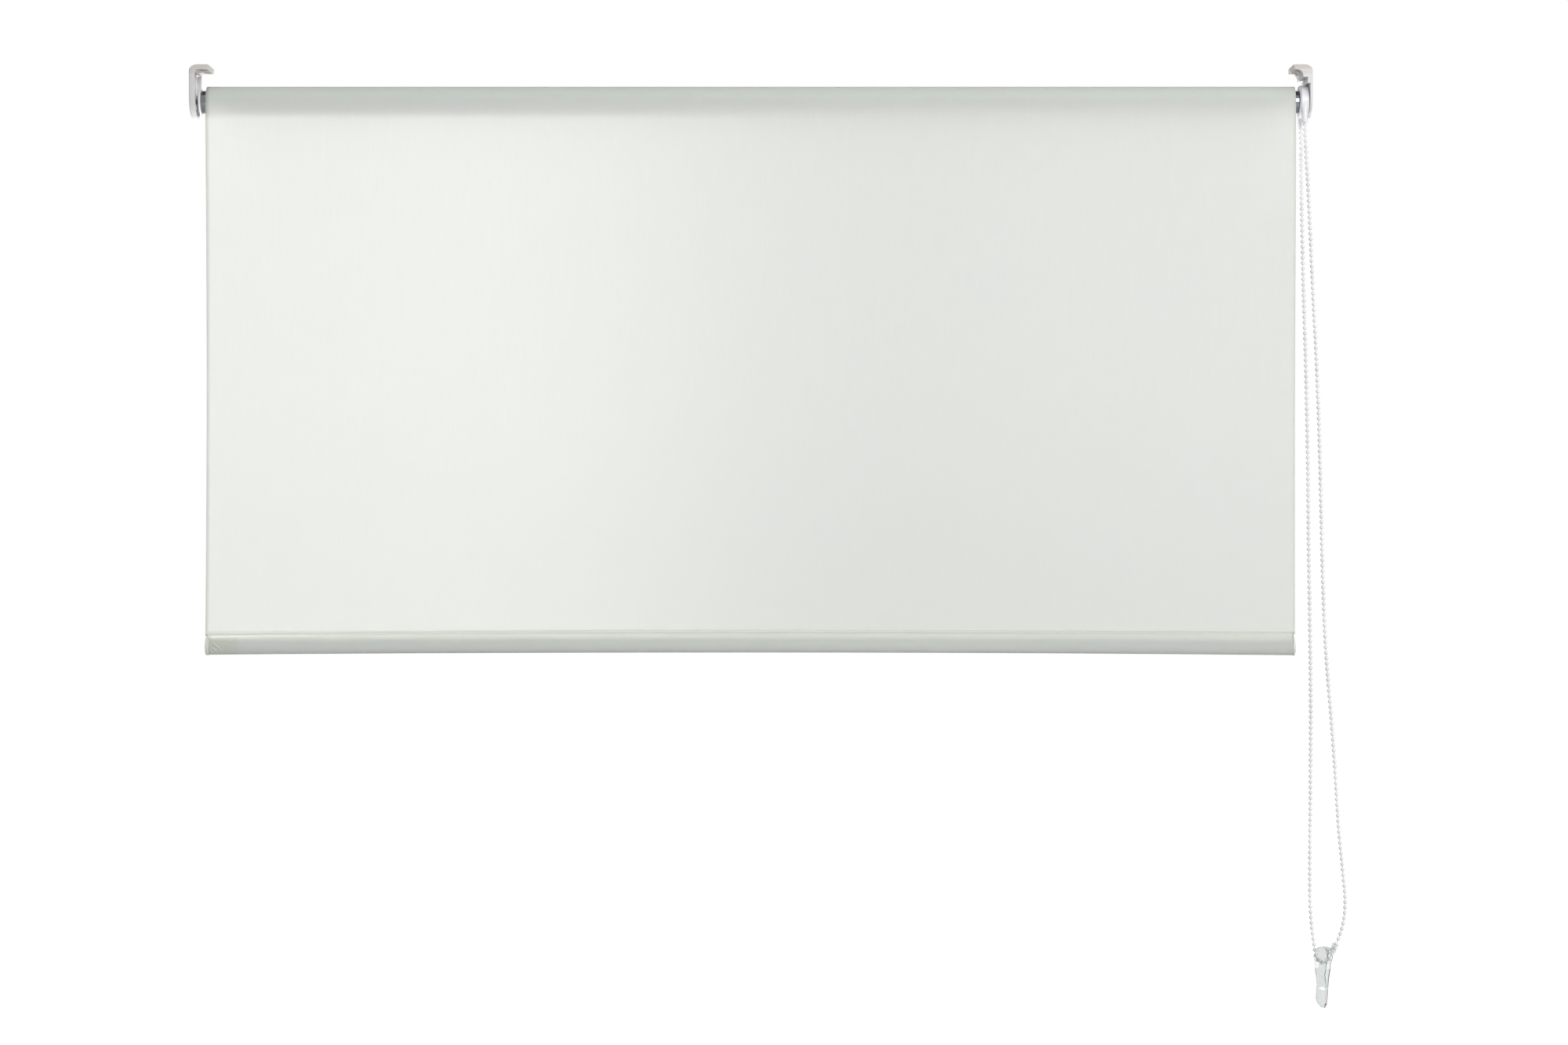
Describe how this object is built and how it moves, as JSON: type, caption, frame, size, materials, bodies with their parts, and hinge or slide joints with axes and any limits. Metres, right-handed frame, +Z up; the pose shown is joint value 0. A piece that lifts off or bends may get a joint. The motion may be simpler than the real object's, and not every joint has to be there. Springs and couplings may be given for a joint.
{
  "type": "roller_blind",
  "caption": "Chain-worked roller blind with pale grey-green cloth, a stitched hem bar, plastic end brackets, a bead-chain clutch and a clear chain tensioner.",
  "frame": {"origin": "on the plane that the brackets hang from, above the tube axis and midway along the fabric", "axes": "+X along the tube towards the chain, +Y towards the window, +Z up"},
  "size_m": [1.2761, 0.0485, 1.0427],
  "materials": {
    "bracket_plastic": "moulded, satin",
    "clutch_plastic": "moulded, white",
    "inner_plastic": "moulded",
    "chain_plastic": "moulded on a thread",
    "clear_plastic": "clear, polished",
    "cap_plastic": "moulded",
    "tube_steel": "bright",
    "spring_steel": "drawn wire",
    "bar_aluminium": "mill",
    "cloth": "woven, pale grey-green"
  },
  "bodies": {
    "frame": {"left_bracket": "bracket_plastic", "right_bracket": "bracket_plastic", "clutch_spindle": "inner_plastic", "spindle_cap": "spring_steel", "clutch_housing": "clutch_plastic", "clutch_lid": "clutch_plastic", "inner_wrap_spring": "spring_steel", "outer_wrap_spring": "spring_steel", "bead_chain": "chain_plastic", "chain_connector": "chain_plastic", "tensioner_body": "clear_plastic", "tensioner_cover": "clear_plastic"},
    "roller": {"roller_tube": "tube_steel", "fabric_roll": "cloth", "idle_plug": "clutch_plastic", "idle_pin_spring": "spring_steel", "idle_spring_stop": "inner_plastic", "drive_sleeve": "inner_plastic", "chain_wheel": "clutch_plastic", "wheel_beads": "chain_plastic"},
    "pin": {"idle_pin": "tube_steel"},
    "bottom_rail": {"fabric_sheet": "cloth", "hem_pocket": "cloth", "bottom_bar": "bar_aluminium", "left_bar_cap": "cap_plastic", "right_bar_cap": "cap_plastic"}
  },
  "joints": [
    {"name": "roller_spin", "type": "hinge", "parent": "frame", "child": "roller", "pos_m": [0, 0, -0.04], "axis": [1, 0, 0], "range_deg": [-1890, 2410]},
    {"name": "blind_lift", "type": "slide", "parent": "frame", "child": "bottom_rail", "axis": [0, 0, 1], "range_m": [-0.7, 0.545], "deforming": ["fabric_sheet"]},
    {"name": "idle_pin_slide", "type": "slide", "parent": "roller", "child": "pin", "axis": [1, 0, 0], "range_m": [0, 0.006], "stiffness_N_per_m": 700, "springref_m": -0.004, "deforming": ["idle_pin_spring"]}
  ],
  "couplings": [
    {"joint": "blind_lift", "follows": "roller_spin", "m_per_rad": -0.0163}
  ]
}
